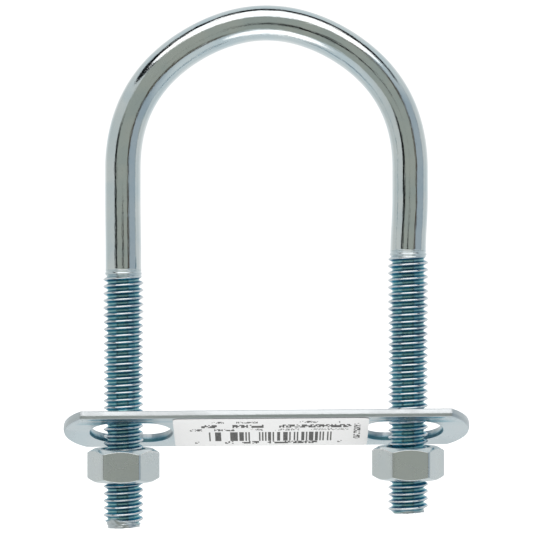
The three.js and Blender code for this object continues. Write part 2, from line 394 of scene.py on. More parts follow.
def bent_rod(settings):
    """The plain rod: a circle carried along the rod's centre line. In the bend the section is
    pressed a little flat on the inside, and faint die lines run along it. Each end closes on the
    centre line, inside the ring of the thread."""
    centre, tangent, along = rod_path(settings)
    columns = 84
    angle = 2 * math.pi * np.arange(columns) / columns
    across = np.stack([-tangent[:, 2], 0 * along, tangent[:, 0]], axis=-1)
    bend = smooth(0.0, 0.25, np.abs(tangent[:, 0]))[:, None]
    line_depth, wander_depth, press_depth = 0.005, 0.010, 0.03
    lines = line_depth * ripple(9 * angle, 17 * angle + 1.0, 31 * angle + 2.0)[None, :]
    run = along[:, None]
    wander = wander_depth * ripple(0.35 * run + 2 * angle, 0.21 * run - 3 * angle)
    pressed = press_depth * bend * np.cos(angle)[None, :] ** 2
    radius = settings.rod_radius - line_depth - wander_depth + lines + wander - pressed
    depth = np.array([0.0, 1, 0])
    points = (
        centre[:, None, :]
        + (radius * np.cos(angle))[..., None] * across[:, None, :]
        + (radius * np.sin(angle))[..., None] * depth
    )
    first = np.repeat(centre[:1, None, :], columns, axis=1)
    last = np.repeat(centre[-1:, None, :], columns, axis=1)
    points = np.concatenate([first, points, last])
    rows = len(points)
    quads = grid_quads(rows, columns)[:, ::-1]
    distance = np.concatenate([along[:1], along, along[-1:]])
    u = np.repeat((angle * settings.rod_radius)[None, :], rows, axis=0)
    v = np.repeat(distance[:, None], columns, axis=1)
    return points.reshape(-1, 3), quads, grid_uv(quads, u, v)


def nut_skin(side, nut, rod):
    """One nut as a closed ring of profiles. Column by column round the axis the hexagon's reach is
    half the width over flats / cos(angle from the face), eased off at the corners. The rows climb
    the threaded hole, cross the upper face, follow the 30-degree chamfer out to that reach, go
    down the face and come back along the lower chamfer."""
    low, high = box_mm(side + "_nut")
    bottom, top = low[2] + 0.01, high[2] - 0.01
    columns = 288
    per_face = columns // 6
    face = math.radians(-90 + getattr(nut, side + "_turn"))
    angle = face + math.pi / 6 + 2 * math.pi * np.arange(columns) / columns
    offset = (np.arange(columns) % per_face) / per_face * math.pi / 3 - math.pi / 6
    reach = nut.across_flats / 2 / np.cos(offset)
    corner_cut, easing = 0.13, 0.04
    limit = nut.across_flats / 2 / math.cos(math.pi / 6) - corner_cut
    reach = reach - easing * np.logaddexp(0.0, (reach - limit) / easing)

    # threaded hole, with its countersinks
    crest = getattr(rod, side + "_crest")
    hole_rows = int(THREAD_SAMPLES * (top - bottom) / PITCH)
    z = np.linspace(bottom, top, hole_rows)[:, None]
    turn = (angle - math.pi)[None, :] / (2 * math.pi)
    crown = thread_height((z - crest) / PITCH - turn)
    wall = rod.minor_radius + nut.thread_play + (MAJOR_RADIUS - rod.minor_radius) * crown
    sink_slope = 1.15
    sink = nut.countersink - sink_slope * np.minimum(z - bottom, top - z)
    hole = np.maximum(wall, sink)
    hole_z = np.repeat(z, columns, axis=1)

    # half of the outside: flat ring, chamfer, then down to mid height
    ring = nut.countersink + (nut.chamfer_circle - nut.countersink) * np.array([0.03, 0.5, 0.97])
    ring = np.repeat(ring[:, None], columns, axis=1)
    share = np.linspace(0.0, 1.0, 7)[:, None] ** 0.9
    slope = math.tan(math.radians(30))
    chamfer = nut.chamfer_circle + 0.05 + share * (reach - nut.chamfer_circle - 0.09)[None, :]
    chamfer_drop = (chamfer - nut.chamfer_circle) * slope
    soften = np.array([0.04, 0.10, 0.25, 0.6])[:, None]
    edge_drop = chamfer_drop[-1:] + 0.03 + soften
    edge = reach[None, :] - np.array([0.015, 0.0, 0.0, 0.0])[:, None]
    half = np.concatenate([ring, chamfer, edge])
    half_drop = np.concatenate([0 * ring, chamfer_drop, edge_drop])
    radius = np.concatenate([hole, half, half[::-1]])
    z = np.concatenate([hole_z, top - half_drop, (bottom + half_drop)[::-1]])

    centre = LEG_X[side]
    dent_depth = 0.012
    dents = dent_depth * ripple(5 * angle + 1.3 * z, 9 * angle - 0.9 * z, 2.1 * z + 3 * angle)
    radius = np.where(radius > nut.chamfer_circle + 0.3, radius - np.abs(dents), radius)
    points = np.stack([centre + radius * np.cos(angle), radius * np.sin(angle), z], axis=-1)
    rows = len(radius)
    quads = grid_quads(rows, columns, wrap_rows=True)[:, ::-1]
    corner = smooth(0.38, 0.5, np.abs(offset) / (math.pi / 3))[None, :]
    outside = (np.arange(rows) >= hole_rows)[:, None]
    on_chamfer = np.zeros((rows, 1))
    first, last = len(ring), len(ring) + len(chamfer)
    on_chamfer[hole_rows + first:hole_rows + last] = 1.0
    on_chamfer[rows - last:rows - first] = 1.0
    values = {
        "edge": corner * outside,
        "chamfer": np.repeat(on_chamfer, columns, axis=1),
        "bore": np.repeat(1.0 - outside, columns, axis=1),
    }
    return points.reshape(-1, 3), quads, values


# ---------------------------------------------------------------------------
# Strap plate and label
# ---------------------------------------------------------------------------

def plate_axes():
    """The plate's own directions: along it, across it from the raised edge to the low edge, and
    out of its upper face. They follow from the normal of the upper face."""
    up = PLATE_NORMAL / np.linalg.norm(PLATE_NORMAL)
    along = np.array([up[2], 0.0, -up[0]])
    along /= np.linalg.norm(along)
    across = np.cross(up, along)
    return along, across, up


def on_plate(settings, x, y, z):
    """Points of the plate's own frame, whose z counts up from its lower face, in the row frame."""
    along, across, up = plate_axes()
    origin = place_mm("plate_upper_face") - up * settings.thickness
    parts = [np.multiply.outer(part, axis) for part, axis in ((x, along), (y, across), (z, up))]
    return origin + parts[0] + parts[1] + parts[2]


def plate_outline(settings):
    """The plate's edge, anticlockwise: two straight sides and two arcs whose radius is
    (half width squared + bulge squared) / (2 * bulge)."""
    half = settings.width / 2
    radius = (half ** 2 + settings.sagitta ** 2) / (2 * settings.sagitta)
    middle = settings.length / 2 - radius
    sweep = math.asin(half / radius)
    arc = np.linspace(-sweep, sweep, 61)
    right = np.stack([middle + radius * np.cos(arc), radius * np.sin(arc)], axis=-1)
    side = np.linspace(right[-1, 0], -right[-1, 0], 122)[1:-1]
    upper = np.stack([side, np.full_like(side, half)], axis=-1)
    return np.concatenate([right, upper, -right, -upper])


def slot_outline(settings, side):
    """One slot's edge, clockwise: two half circles joined by straight sides."""
    radius = settings.slot_width / 2
    reach = (settings.slot_length - settings.slot_width) / 2
    arc = np.linspace(math.pi / 2, -math.pi / 2, 49)
    cap = np.stack([reach + radius * np.cos(arc), radius * np.sin(arc)], axis=-1)
    straight = np.linspace(reach, -reach, 12)[1:-1]
    lower = np.stack([straight, np.full_like(straight, -radius)], axis=-1)
    loop = np.concatenate([cap, lower, -cap, -lower])
    return loop + np.array([side * settings.slot_x, 0.0])


def loop_normals(loop):
    """Outward mitre vectors of a closed loop with the material on its left: the sum of the two
    neighbouring edge normals over one plus their dot product."""
    edge = np.roll(loop, -1, axis=0) - loop
    normal = np.stack([edge[:, 1], -edge[:, 0]], axis=-1)
    normal /= np.linalg.norm(normal, axis=1, keepdims=True)
    before = np.roll(normal, 1, axis=0)
    return (normal + before) / (1 + (normal * before).sum(axis=1, keepdims=True))


def edge_profile(thick, roll):
    """The cut edge from the lower face up, as inset and height: a tight burred corner, a torn
    band that leans out, a burnished band, and the roll-over of the upper corner."""
    burr, lean, band = 0.16, 0.13, 0.56
    quarter = np.linspace(0.0, math.pi / 2, 5)
    corner = np.stack([lean + burr * (1 - np.sin(quarter)), burr * (1 - np.cos(quarter))], axis=-1)
    rise = np.linspace(burr, band, 6)[1:]
    torn = np.stack([lean * (band - rise) / (band - burr), rise], axis=-1)
    rise = np.linspace(band, thick - roll, 8)[1:-1]
    burnished = np.stack([0.04 * ((rise - band) / (thick - roll - band)) ** 2, rise], axis=-1)
    turn = np.linspace(0.0, math.pi / 2, 8)
    over = np.stack([
        0.04 + roll * (1 - np.cos(turn)), thick - roll + roll * np.sin(turn),
    ], axis=-1)
    inner = np.array([[1.1, 0.0], [0.6, 0.0], [0.3, 0.0]])
    outer = np.array([[0.75, thick], [1.2, thick]])
    return np.concatenate([inner, corner, torn, burnished, over, outer])


def punched_plate(settings):
    """The strap plate: the edge profile carried round the outline and both slots, with the flat
    faces filled between the innermost rings. The sheared side wanders by a few hundredths."""
    thick = settings.thickness
    cuts = [
        (plate_outline(settings), edge_profile(thick, settings.roll_over)),
        (slot_outline(settings, -1), edge_profile(thick, settings.slot_roll)),
        (slot_outline(settings, 1), edge_profile(thick, settings.slot_roll)),
    ]
    rough_depth = 0.022
    points, faces, tear, start = [], [], [], 0
    lower_rings, upper_rings = [], []
    rows = len(cuts[0][1])
    for loop, profile in cuts:
        count = len(loop)
        run = np.arange(count)
        rough = rough_depth * ripple(0.9 * run, 2.3 * run + 1.0, 0.17 * run + 2.0)
        inset = profile[:, 0][:, None] + rough_depth + rough[None, :]
        flat = loop[None] - inset[..., None] * loop_normals(loop)[None]
        z = np.repeat(profile[:, 1][:, None], count, axis=1)
        points.append(np.concatenate([flat, z[..., None]], axis=-1).reshape(-1, 3))
        faces.append(grid_quads(rows, count) + start)
        lower_rings.append((np.arange(count) + start, flat[0]))
        upper_rings.append((np.arange(count) + start + (rows - 1) * count, flat[-1]))
        cut_face = (profile[:, 0] < 0.55) & (profile[:, 1] > 0.01)
        tear.append(np.repeat(cut_face.astype(float), count))
        start += rows * count
    own = np.concatenate(points)
    quads = [tuple(face) for face in np.concatenate(faces).tolist()]
    for rings, upward in ((lower_rings, False), (upper_rings, True)):
        index = np.concatenate([ring for ring, _ in rings])
        outline = [[(float(x), float(y), 0.0) for x, y in flat] for _, flat in rings]
        for triangle in tessellate_polygon(outline):
            a, b, c = (own[index[corner]][:2] for corner in triangle)
            turn = (b[0] - a[0]) * (c[1] - a[1]) - (b[1] - a[1]) * (c[0] - a[0])
            if abs(turn) < 1e-9:
                continue
            order = triangle if (turn > 0) == upward else triangle[::-1]
            quads.append(tuple(int(index[corner]) for corner in order))
    placed = on_plate(settings, own[:, 0], own[:, 1], own[:, 2])
    from_leg = np.abs(np.abs(own[:, 0]) - abs(LEG_X["left"]))
    low = smooth(0.75, 0.25, own[:, 2] / thick)
    wall = np.concatenate(tear)
    # painted reflection and shade of the leg, stored as the 'film' attribute: a blue tint on the
    # lower part of the slot's walls and on the lower face beside the slot, near the leg
    inside = smooth(6.4, 4.95, np.abs(own[:, 1])) * wall * smooth(9.5, 7.5, from_leg)
    strip = smooth(-4.4, -4.8, own[:, 1]) * smooth(-7.7, -7.2, own[:, 1]) * (1 - wall)
    strip = strip * smooth(6.8, 5.6, from_leg)
    # the 'film' value is painted reflection and shade of the leg
    return placed, quads, {"tear": wall, "film": low * np.maximum(inside, strip)}


def paper_label(plate, label):
    """The label as a closed sheet. At a distance along the label its half width is cut back by
    corner - sqrt(corner^2 - overrun^2), which rounds the corners. The sheet has faint waves and
    lifts a hair at its ends. UVs are millimetres from its middle."""
    columns, rows = 150, 46
    half_length, half_width = label.length / 2, label.width / 2
    share = np.sin(np.linspace(-math.pi / 2, math.pi / 2, columns))
    x = half_length * (0.75 * share + 0.25 * np.linspace(-1, 1, columns))
    overrun = np.clip(np.abs(x) - (half_length - label.corner), 0.0, label.corner)
    cut = label.corner - np.sqrt(np.clip(label.corner ** 2 - overrun ** 2, 0.0, None))
    x, y = np.meshgrid(x, np.linspace(-1.0, 1.0, rows), indexing="ij")
    y = y * (half_width - cut)[:, None]
    gap, thick, wave_depth, end_lift = 0.055, 0.05, 0.012, 0.012
    wave = wave_depth * ripple(0.5 * x + 0.3 * y, 0.23 * x - 0.9 * y, 1.1 * y + 1.0)
    lift = end_lift * smooth(half_length - 2.5, half_length, np.abs(x))
    back = -gap - wave_depth - wave - lift
    front = back - thick
    along = x.ravel() + label.place
    points = np.concatenate([
        on_plate(plate, along, y.ravel(), z.ravel()) for z in (front, back)
    ])
    sheet = grid_quads(columns, rows, wrap_columns=False)
    offset = columns * rows
    grid = np.arange(offset).reshape(columns, rows)
    rim = np.concatenate([grid[:, 0], grid[-1, 1:], grid[-2::-1, -1], grid[0, -2:0:-1]])
    after = np.roll(rim, -1)
    band = np.stack([rim, after, after + offset, rim + offset], axis=-1)
    quads = np.concatenate([sheet[:, ::-1], sheet + offset, band])
    flat = np.stack([x.ravel(), y.ravel()], axis=-1)
    both = np.concatenate([flat, flat])
    return points, quads, both[quads].reshape(-1, 2)


# ---------------------------------------------------------------------------
# Shader node groups and materials
# ---------------------------------------------------------------------------

class Tree:
    """A short way to add nodes and links to a node tree."""

    def __init__(self, tree):
        self.tree = tree

    def node(self, kind, label="", **settings):
        node = self.tree.nodes.new(kind)
        node.label = label
        for key, value in settings.items():
            setattr(node, key, value)
        return node

    def feed(self, socket, value):
        """Links an output to the socket, or sets the socket's own value."""
        if isinstance(value, bpy.types.NodeSocket):
            self.tree.links.new(value, socket)
        else:
            socket.default_value = value

    def math(self, operation, a, b=0.0):
        node = self.node("ShaderNodeMath", operation=operation)
        self.feed(node.inputs[0], a)
        self.feed(node.inputs[1], b)
        return node.outputs[0]

    def times(self, a, b):
        return self.math("MULTIPLY", a, b)

    def plus(self, a, b):
        return self.math("ADD", a, b)

    def ramp(self, value, low, high, out_low=0.0, out_high=1.0):
        """Maps low..high to out_low..out_high, clamped, with an eased slope."""
        node = self.node("ShaderNodeMapRange", interpolation_type="SMOOTHSTEP")
        for socket, part in zip(node.inputs, (value, low, high, out_low, out_high)):
            self.feed(socket, part)
        return node.outputs[0]

    def mix(self, factor, a, b):
        node = self.node("ShaderNodeMix", data_type="RGBA")
        self.feed(node.inputs["Factor"], factor)
        self.feed(node.inputs[6], a)
        self.feed(node.inputs[7], b)
        return node.outputs[2]

    def noise(self, vector, scale, detail=2.0, roughness=0.5):
        node = self.node("ShaderNodeTexNoise")
        for key, value in (("Vector", vector), ("Scale", scale), ("Detail", detail)):
            self.feed(node.inputs[key], value)
        node.inputs["Roughness"].default_value = roughness
        return node.outputs["Fac"]

    def stretch(self, vector, scale):
        node = self.node("ShaderNodeMapping")
        self.feed(node.inputs["Vector"], vector)
        node.inputs["Scale"].default_value = scale
        return node.outputs["Vector"]

    def attribute(self, name):
        return self.node("ShaderNodeAttribute", attribute_name=name).outputs["Fac"]


def new_group(name, inputs, outputs):
    """An empty shader node group with named inputs and outputs, and its two end nodes."""
    group = bpy.data.node_groups.new(name, "ShaderNodeTree")
    for key, kind, default in inputs:
        socket = group.interface.new_socket(name=key, in_out="INPUT", socket_type=kind)
        if default is not None:
            socket.default_value = default
    for key, kind in outputs:
        group.interface.new_socket(name=key, in_out="OUTPUT", socket_type=kind)
    tree = Tree(group)
    return tree, tree.node("NodeGroupInput").outputs, tree.node("NodeGroupOutput").inputs


def grain_group():
    """Zinc crystals and handling marks: fine grain, soft dents and sparse scratches, as a height
    from 0 to 1, and a mask of dull patches."""
    tree, given, out = new_group(
        "zinc grain",
        [("Vector", "NodeSocketVector", None), ("Scale", "NodeSocketFloat", 900.0)],
        [("Height", "NodeSocketFloat"), ("Dull", "NodeSocketFloat")],
    )
    vector, scale = given["Vector"], given["Scale"]
    fine = tree.noise(vector, scale, 3.0, 0.6)
    dents = tree.noise(vector, tree.times(scale, 0.22), 2.0)
    marks = tree.noise(vector, tree.times(scale, 0.09), 4.0, 0.62)
    both = tree.plus(tree.times(fine, 0.45), tree.times(dents, 0.35))
    tree.feed(out["Height"], tree.plus(both, tree.times(marks, 0.20)))
    tree.feed(out["Dull"], tree.ramp(marks, 0.40, 0.66))
    return tree.tree


def film_group():
    """Passivation film: a colour that drifts between two tints in soft clouds."""
    tree, given, out = new_group(
        "passivation film",
        [
            ("Vector", "NodeSocketVector", None),
            ("Scale", "NodeSocketFloat", 120.0),
            ("Thin", "NodeSocketColor", (0.9, 0.9, 0.9, 1)),
            ("Thick", "NodeSocketColor", (0.7, 0.8, 0.9, 1)),
        ],
        [("Color", "NodeSocketColor"), ("Mask", "NodeSocketFloat")],
    )
    clouds = tree.noise(given["Vector"], given["Scale"], 3.0, 0.55)
    mask = tree.ramp(clouds, 0.32, 0.68)
    tree.feed(out["Color"], tree.mix(mask, given["Thin"], given["Thick"]))
    tree.feed(out["Mask"], mask)
    return tree.tree


def rub_group():
    """Where a raised edge is rubbed bright: a mask that is broken up by noise."""
    tree, given, out = new_group(
        "rubbed edge",
        [
            ("Mask", "NodeSocketFloat", 0.0),
            ("Vector", "NodeSocketVector", None),
            ("Scale", "NodeSocketFloat", 700.0),
        ],
        [("Rubbed", "NodeSocketFloat")],
    )
    speckle = tree.noise(given["Vector"], given["Scale"], 3.0, 0.6)
    worn = tree.plus(given["Mask"], tree.math("SUBTRACT", speckle, 0.62))
    tree.feed(out["Rubbed"], tree.ramp(worn, 0.30, 0.75))
    return tree.tree


def cells_group():
    """Unreadable printed marks: a band cut into cells, each inked or not by chance, with gaps
    between words. Low and High are the band's corners in label millimetres, and Cell is the size
    of one cell."""
    tree, given, out = new_group(
        "printed marks",
        [
            ("UV", "NodeSocketVector", None),
            ("Low", "NodeSocketVector", None),
            ("High", "NodeSocketVector", None),
            ("Cell", "NodeSocketVector", None),
            ("Word", "NodeSocketFloat", 3.0),
            ("Ink", "NodeSocketFloat", 0.5),
        ],
        [("Mask", "NodeSocketFloat")],
    )
    low = tree.node("ShaderNodeVectorMath", operation="SUBTRACT")
    tree.feed(low.inputs[0], given["UV"])
    tree.feed(low.inputs[1], given["Low"])
    high = tree.node("ShaderNodeVectorMath", operation="SUBTRACT")
    tree.feed(high.inputs[0], given["High"])
    tree.feed(high.inputs[1], given["UV"])
    inside = None
    for vector in (low.outputs[0], high.outputs[0]):
        parts = tree.node("ShaderNodeSeparateXYZ")
        tree.feed(parts.inputs[0], vector)
        for axis in ("X", "Y"):
            beyond = tree.math("GREATER_THAN", parts.outputs[axis], 0.0)
            inside = beyond if inside is None else tree.times(inside, beyond)
    divide = tree.node("ShaderNodeVectorMath", operation="DIVIDE")
    tree.feed(divide.inputs[0], low.outputs[0])
    tree.feed(divide.inputs[1], given["Cell"])
    floor = tree.node("ShaderNodeVectorMath", operation="FLOOR")
    tree.feed(floor.inputs[0], divide.outputs[0])
    chance = tree.node("ShaderNodeTexWhiteNoise", noise_dimensions="2D")
    tree.feed(chance.inputs["Vector"], floor.outputs[0])
    inked = tree.math("LESS_THAN", chance.outputs["Value"], given["Ink"])
    parts = tree.node("ShaderNodeSeparateXYZ")
    tree.feed(parts.inputs[0], floor.outputs[0])
    word = tree.math("FLOOR", tree.math("DIVIDE", parts.outputs["X"], given["Word"]))
    gap = tree.node("ShaderNodeTexWhiteNoise", noise_dimensions="1D")
    tree.feed(gap.inputs["W"], word)
    kept = tree.math("GREATER_THAN", gap.outputs["Value"], 0.16)
    mask = tree.times(tree.times(inside, inked), kept)
    tree.feed(out["Mask"], mask)
    return tree.tree


def use_group(tree, name, make, **values):
    """Places a group, which is made the first time, and returns its outputs."""
    node = tree.node("ShaderNodeGroup", name)
    node.node_tree = bpy.data.node_groups.get(name) or make()
    for key, value in values.items():
        tree.feed(node.inputs[key], value)
    return node.outputs


def new_material(name, metallic, roughness):
    """A material with a Principled shader, ready for its colour, roughness and bump."""
    material = bpy.data.materials.new(name)
    material.use_nodes = True
    tree = Tree(material.node_tree)
    shader = material.node_tree.nodes["Principled BSDF"]
    shader.inputs["Metallic"].default_value = metallic
    shader.inputs["Roughness"].default_value = roughness
    return material, tree, shader


def bump(tree, shader, raised, strength, distance):
    node = tree.node("ShaderNodeBump")
    node.inputs["Strength"].default_value = strength
    node.inputs["Distance"].default_value = distance
    tree.feed(node.inputs["Height"], raised)
    tree.feed(shader.inputs["Normal"], node.outputs["Normal"])


def rgba(colour_value):
    return (*colour_value, 1.0)


def object_coordinates(tree):
    return tree.node("ShaderNodeTexCoord").outputs["Object"]


def zinc(name, grain_scale, film_scale, thin, thick):
    """The start of a zinc-plated material: its grain, and a film that drifts between two tints."""
    material, tree, shader = new_material(name, 1.0, 0.3)
    place = object_coordinates(tree)
    grain = use_group(tree, "zinc grain", grain_group, Vector=place, Scale=grain_scale)
    film = use_group(
        tree, "passivation film", film_group, Vector=place, Scale=film_scale,
        Thin=rgba(thin), Thick=rgba(thick),
    )
    return material, tree, shader, place, grain, film


def dull_patches(tree, shader, grain, shiniest, dullest, extra=None):
    """Roughness that follows the grain's dull patches, plus an extra amount where one is given."""
    rough = tree.ramp(grain["Dull"], 0.0, 1.0, shiniest, dullest)
    if extra is not None:
        rough = tree.plus(rough, extra)
    tree.feed(shader.inputs["Roughness"], rough)


def rubbed_mask(tree, mask, place, scale):
    return use_group(
        tree, "rubbed edge", rub_group, Mask=mask, Vector=place, Scale=scale,
    )["Rubbed"]


def rod_material(finish):
    """Bright zinc on drawn rod: die lines along the rod, and a film that comes and goes."""
    material, tree, shader, _, grain, film = zinc(
        "bright zinc rod", 3200.0, 170.0, finish.bright, finish.clear,
    )
    uv = tree.node("ShaderNodeUVMap", uv_map="UVMap").outputs["UV"]
    lines = tree.noise(tree.stretch(uv, (2.6, 0.16, 1.0)), 1.0, 3.0, 0.6)
    tree.feed(shader.inputs["Base Color"], film["Color"])
    dull_patches(tree, shader, grain, 0.06, 0.10)
    shape = tree.plus(tree.times(lines, 0.75), tree.times(grain["Height"], 0.5))
    bump(tree, shader, shape, 1.0, 0.000030)
    return material


def thread_material(finish):
    """Blue film on the flanks of the rolled thread, a pale painted highlight at the root, the film
    rubbed off on the crests, and bare torn metal at the sheared end."""
    material, tree, shader, place, grain, film = zinc(
        "blue zinc thread", 1400.0, 260.0, finish.blue, finish.groove,
    )
    crest = tree.attribute("crest")
    rubbed = tree.attribute("rubbed")
    # painted highlight: the root of the thread takes the pale root colour
    low = tree.mix(tree.ramp(crest, 0.16, 0.02), film["Color"], rgba(finish.root))
    worn = rubbed_mask(tree, tree.ramp(crest, 0.55, 0.85), place, 900.0)
    wound = tree.mix(worn, low, rgba(finish.crest))
    plain = tree.mix(tree.attribute("threaded"), rgba(finish.clear), wound)
    tree.feed(shader.inputs["Base Color"], tree.mix(rubbed, plain, rgba(finish.cut)))
    dull_patches(tree, shader, grain, 0.16, 0.27, tree.times(rubbed, 0.12))
    bump(tree, shader, grain["Height"], 0.6, 0.00006)
    return material


def nut_material(finish):
    """Satin zinc on forged steel: dull faces, bright chamfers and rubbed corners, and a blue
    film down the hole."""
    material, tree, shader, place, grain, film = zinc(
        "satin zinc nut", 1100.0, 240.0, finish.bright, finish.satin,
    )
    worn = rubbed_mask(tree, tree.attribute("edge"), place, 800.0)
    shell = tree.mix(worn, film["Color"], rgba(finish.bright))
    colour_all = tree.mix(tree.attribute("bore"), shell, rgba(finish.blue))
    tree.feed(shader.inputs["Base Color"], colour_all)
    dull_patches(tree, shader, grain, 0.24, 0.36, tree.times(tree.attribute("chamfer"), -0.08))
    bump(tree, shader, grain["Height"], 0.5, 0.00008)
    return material


def plate_material(finish):
    """Satin zinc on rolled strip, with torn metal on the punched edges and a blue painted
    reflection and shade of the legs round the slots."""
    material, tree, shader, place, grain, film = zinc(
        "satin zinc plate", 900.0, 110.0, finish.satin, finish.clear,
    )
    tear = tree.attribute("tear")
    cut = tree.mix(tear, film["Color"], rgba(finish.cut))
    clouds = tree.ramp(film["Mask"], 0.0, 1.0, 0.55, 0.80)
    # painted reflection and shade of the leg: the 'film' attribute tints the plate blue beside the
    # slots
    painted_reflection_and_shade = tree.times(tree.attribute("film"), clouds)
    tree.feed(shader.inputs["Base Color"], tree.mix(painted_reflection_and_shade, cut, rgba(finish.blue)))
    dull_patches(tree, shader, grain, 0.24, 0.38, tree.times(tear, 0.06))
    streaks = tree.noise(tree.stretch(place, (2600.0, 900.0, 220.0)), 1.0, 3.0, 0.65)
    torn = tree.times(tree.times(streaks, tear), 1.2)
    bump(tree, shader, tree.plus(grain["Height"], torn), 0.6, 0.0001)
    return material


def label_material(settings):
    """Matt paper with a generic bar pattern and rows of unreadable marks, laid out in
    millimetres from the label's middle."""
    material, tree, shader = new_material("printed paper", 0.0, 0.62)
    place = object_coordinates(tree)
    uv = tree.node("ShaderNodeUVMap", uv_map="UVMap").outputs["UV"]
    bands = [
        # low corner, high corner, cell, cells per word, share of inked cells
        ((-12.9, -0.3), (12.6, 4.6), (0.30, 9.0), 400, 0.54),
        ((-13.7, -4.3), (15.8, -2.6), (0.34, 0.55), 9, 0.64),
        ((-11.6, -6.0), (-2.6, -5.1), (0.20, 0.30), 12, 0.54),
        ((5.6, -6.2), (13.6, -5.2), (0.24, 0.34), 16, 0.54),
        ((-16.0, -2.0), (-7.2, -0.9), (0.24, 0.36), 10, 0.56),
        ((-4.0, -2.1), (15.2, -1.1), (0.17, 0.27), 14, 0.36),
        ((-9.2, 4.7), (9.2, 6.1), (0.34, 0.47), 5, 0.60),
        ((-15.2, 4.9), (-14.2, 5.9), (0.3, 0.33), 9, 0.55),
        ((13.2, 4.6), (14.2, 5.6), (0.3, 0.33), 9, 0.55),
        ((16.3, -4.8), (17.6, 3.6), (0.33, 0.30), 400, 0.47),
    ]
    ink = None
    for low, high, cell, word, share in bands:
        marks = use_group(
            tree, "printed marks", cells_group, UV=uv, Low=(*low, -1.0), High=(*high, 1.0),
            Cell=(*cell, 1.0), Word=float(word), Ink=share,
        )["Mask"]
        ink = marks if ink is None else tree.math("MAXIMUM", ink, marks)
    fibre = tree.noise(place, 2600.0, 3.0, 0.6)
    dim = tree.ramp(fibre, 0.3, 0.7, 0.0, 0.35)
    paper = tree.mix(dim, rgba(settings.paper), (0.69, 0.69, 0.685, 1))
    worn_ink = tree.times(ink, tree.ramp(fibre, 0.2, 0.8, 1.0, 0.86))
    tree.feed(shader.inputs["Base Color"], tree.mix(worn_ink, paper, rgba(settings.ink)))
    bump(tree, shader, fibre, 0.25, 0.00003)
    return material


# ---------------------------------------------------------------------------
# Studio
# ---------------------------------------------------------------------------

# What the room shows: white to the eye, and these walls and lights to mirror-like surfaces
WHITE_ROOM = (1.04, 1.04, 1.04, 1)
LEFT_WALL = (0.50, 0.54, 0.535, 1)
BLUE_WALL = (0.31, 0.375, 0.42, 1)
BLUE_WALL_BEHIND = (0.52, 0.57, 0.58, 1)
DARK_SEAM = (0.10, 0.13, 0.16, 1)
CEILING_AND_GROUND = (0.54, 0.61, 0.63, 1)
BACK_WALL = (0.72, 0.76, 0.77, 1)
OLIVE_WALL = (0.300, 0.330, 0.300, 1)
BROWN_SEAM = (0.045, 0.032, 0.020, 1)
BLACK_SEAM = (0.006, 0.008, 0.008, 1)
BLACK_EDGE = (0.004, 0.006, 0.008, 1)
OVERHEAD_LIGHT = (1.30, 1.30, 1.29, 1)
LOWER_LIGHT = (1.30, 1.30, 1.30, 1)
# Where the dark front stands from the camera: to its left, behind it and below it
FRONT_OFFSET = (-0.020, -0.005, -0.025)
FLOOR_REACH = 3.0
FLOOR_FALL = 0.002


def panel_mask(tree, across, up, centre, half, soft):
    """A soft-edged ellipse on a plane: 1 inside, 0 outside, in the plane's own coordinates."""
    x = tree.math("DIVIDE", tree.math("SUBTRACT", across, centre[0]), half[0])
    y = tree.math("DIVIDE", tree.math("SUBTRACT", up, centre[1]), half[1])
    distance = tree.math("SQRT", tree.plus(tree.times(x, x), tree.times(y, y)))
    return tree.ramp(distance, 1.0 + soft, 1.0 - soft), distance


def seen_on_plane(tree, toward, across, up):
    """Where a direction meets a plane one unit away, and 1 where it points to that plane's side."""
    grazing = 0.02
    depth = tree.math("MAXIMUM", toward, grazing)
    facing = tree.math("GREATER_THAN", toward, grazing)
    return tree.math("DIVIDE", across, depth), tree.math("DIVIDE", up, depth), facing


